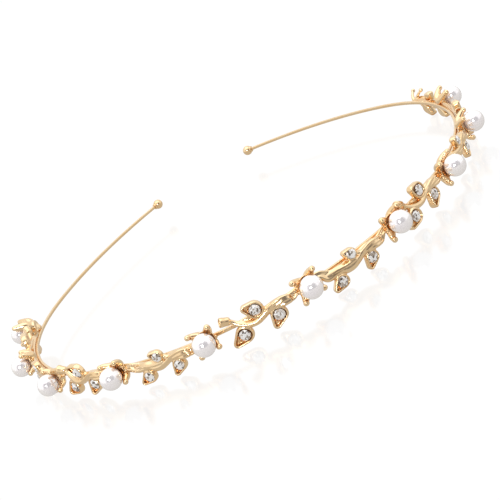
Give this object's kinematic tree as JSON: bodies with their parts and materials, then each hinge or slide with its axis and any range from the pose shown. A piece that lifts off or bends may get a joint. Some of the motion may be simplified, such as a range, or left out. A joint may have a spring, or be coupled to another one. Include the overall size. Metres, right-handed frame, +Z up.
{
  "type": "bridal tiara",
  "caption": "Slim gold-plated sprung headband tiara with soldered vine castings that hold pearls and round crystals in leaf settings, with ball ends.",
  "frame": {"origin": "centre of the underside of the whole tiara's box, with the tiara lying on its side", "axes": "+Z up, square to the plane of the band; +Y from the crown to the two open ends; +X across the head opening, to the right when the crown is nearest"},
  "size_m": [0.1308, 0.1408, 0.0095],
  "materials": {
    "band_gold": "polished, warm light-gold plating on the sprung strip",
    "casting_gold": "polished cast metal with warm light-gold plating, darker in the recesses",
    "pearl": "satin white pearl with a faint pink and grey lustre",
    "crystal": "clear faceted round crystal with a foiled flat back"
  },
  "bodies": {
    "root": {"band": "band_gold", "left_end_ball": "casting_gold", "right_end_ball": "casting_gold", "end_cup_casting": "casting_gold", "vine_casting_1": "casting_gold", "vine_casting_2": "casting_gold", "vine_casting_3": "casting_gold", "vine_casting_4": "casting_gold", "vine_casting_5": "casting_gold", "pearl_01": "pearl", "crystal_01_lower": "crystal", "crystal_01_upper": "crystal", "crystal_01_end": "crystal", "pearl_02": "pearl", "crystal_02_lower": "crystal", "crystal_02_upper": "crystal", "crystal_02_end": "crystal", "pearl_03": "pearl", "crystal_03_lower": "crystal", "crystal_03_upper": "crystal", "crystal_03_end": "crystal", "pearl_04": "pearl", "crystal_04_lower": "crystal", "crystal_04_upper": "crystal", "crystal_04_end": "crystal", "pearl_05": "pearl", "crystal_05_lower": "crystal", "crystal_05_upper": "crystal", "crystal_05_end": "crystal", "pearl_06": "pearl", "crystal_06_lower": "crystal", "crystal_06_upper": "crystal", "crystal_06_end": "crystal", "pearl_07": "pearl", "crystal_07_lower": "crystal", "crystal_07_upper": "crystal", "crystal_07_end": "crystal", "pearl_08": "pearl", "crystal_08_lower": "crystal", "crystal_08_upper": "crystal", "crystal_08_end": "crystal", "pearl_09": "pearl", "crystal_09_lower": "crystal", "crystal_09_upper": "crystal", "crystal_09_end": "crystal", "pearl_10": "pearl", "crystal_10_lower": "crystal", "crystal_10_upper": "crystal", "crystal_10_end": "crystal"}
  },
  "joints": []
}
